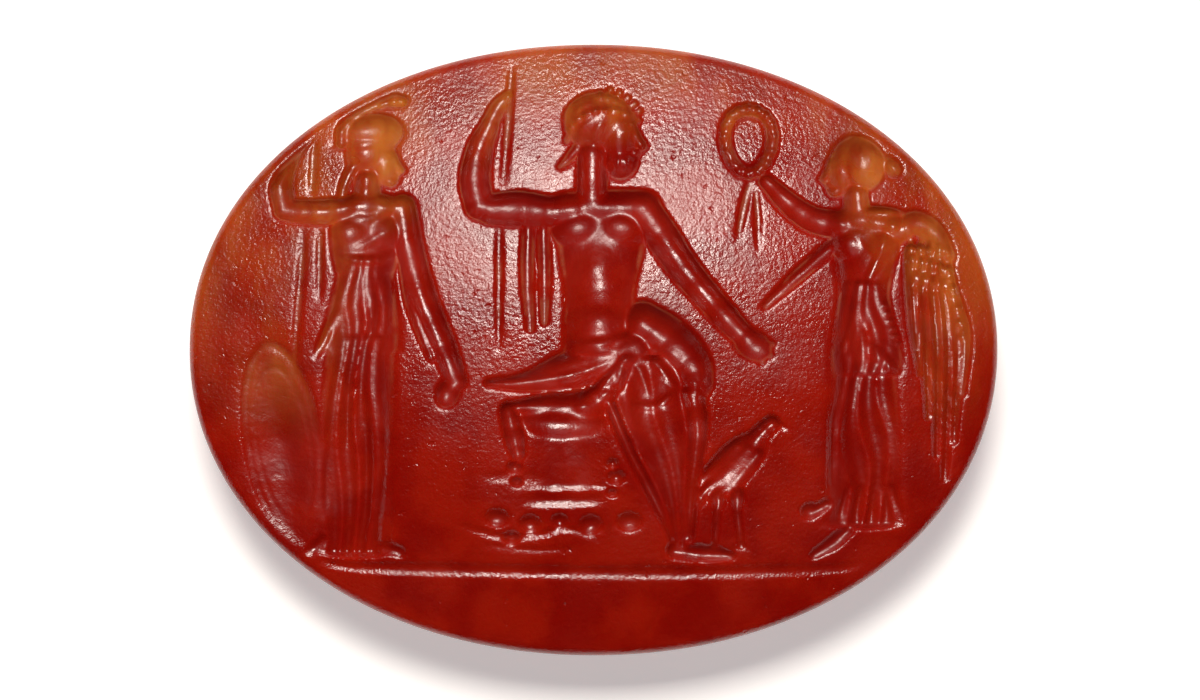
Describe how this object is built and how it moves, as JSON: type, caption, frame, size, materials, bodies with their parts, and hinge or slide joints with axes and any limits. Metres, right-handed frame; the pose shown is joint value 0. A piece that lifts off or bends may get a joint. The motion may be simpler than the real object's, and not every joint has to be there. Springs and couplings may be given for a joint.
{
  "type": "engraved gem",
  "caption": "Oval red carnelian ring stone, flat backed, its domed face engraved with sunken figures that stand and sit on a ground line, for setting in a bezel or pressing a seal.",
  "frame": {"origin": "middle of the flat back, in the plane the stone lies on", "axes": "+Z out of the engraved face, +X along the length towards the right of the scene, +Y towards the figures' heads"},
  "size_m": [0.016, 0.012, 0.004],
  "materials": {
    "carnelian": "deep red translucent chalcedony with orange zones, a worn satin face and glossier polished hollows"
  },
  "bodies": {
    "root": {"engraved_gem": "carnelian"}
  },
  "joints": []
}
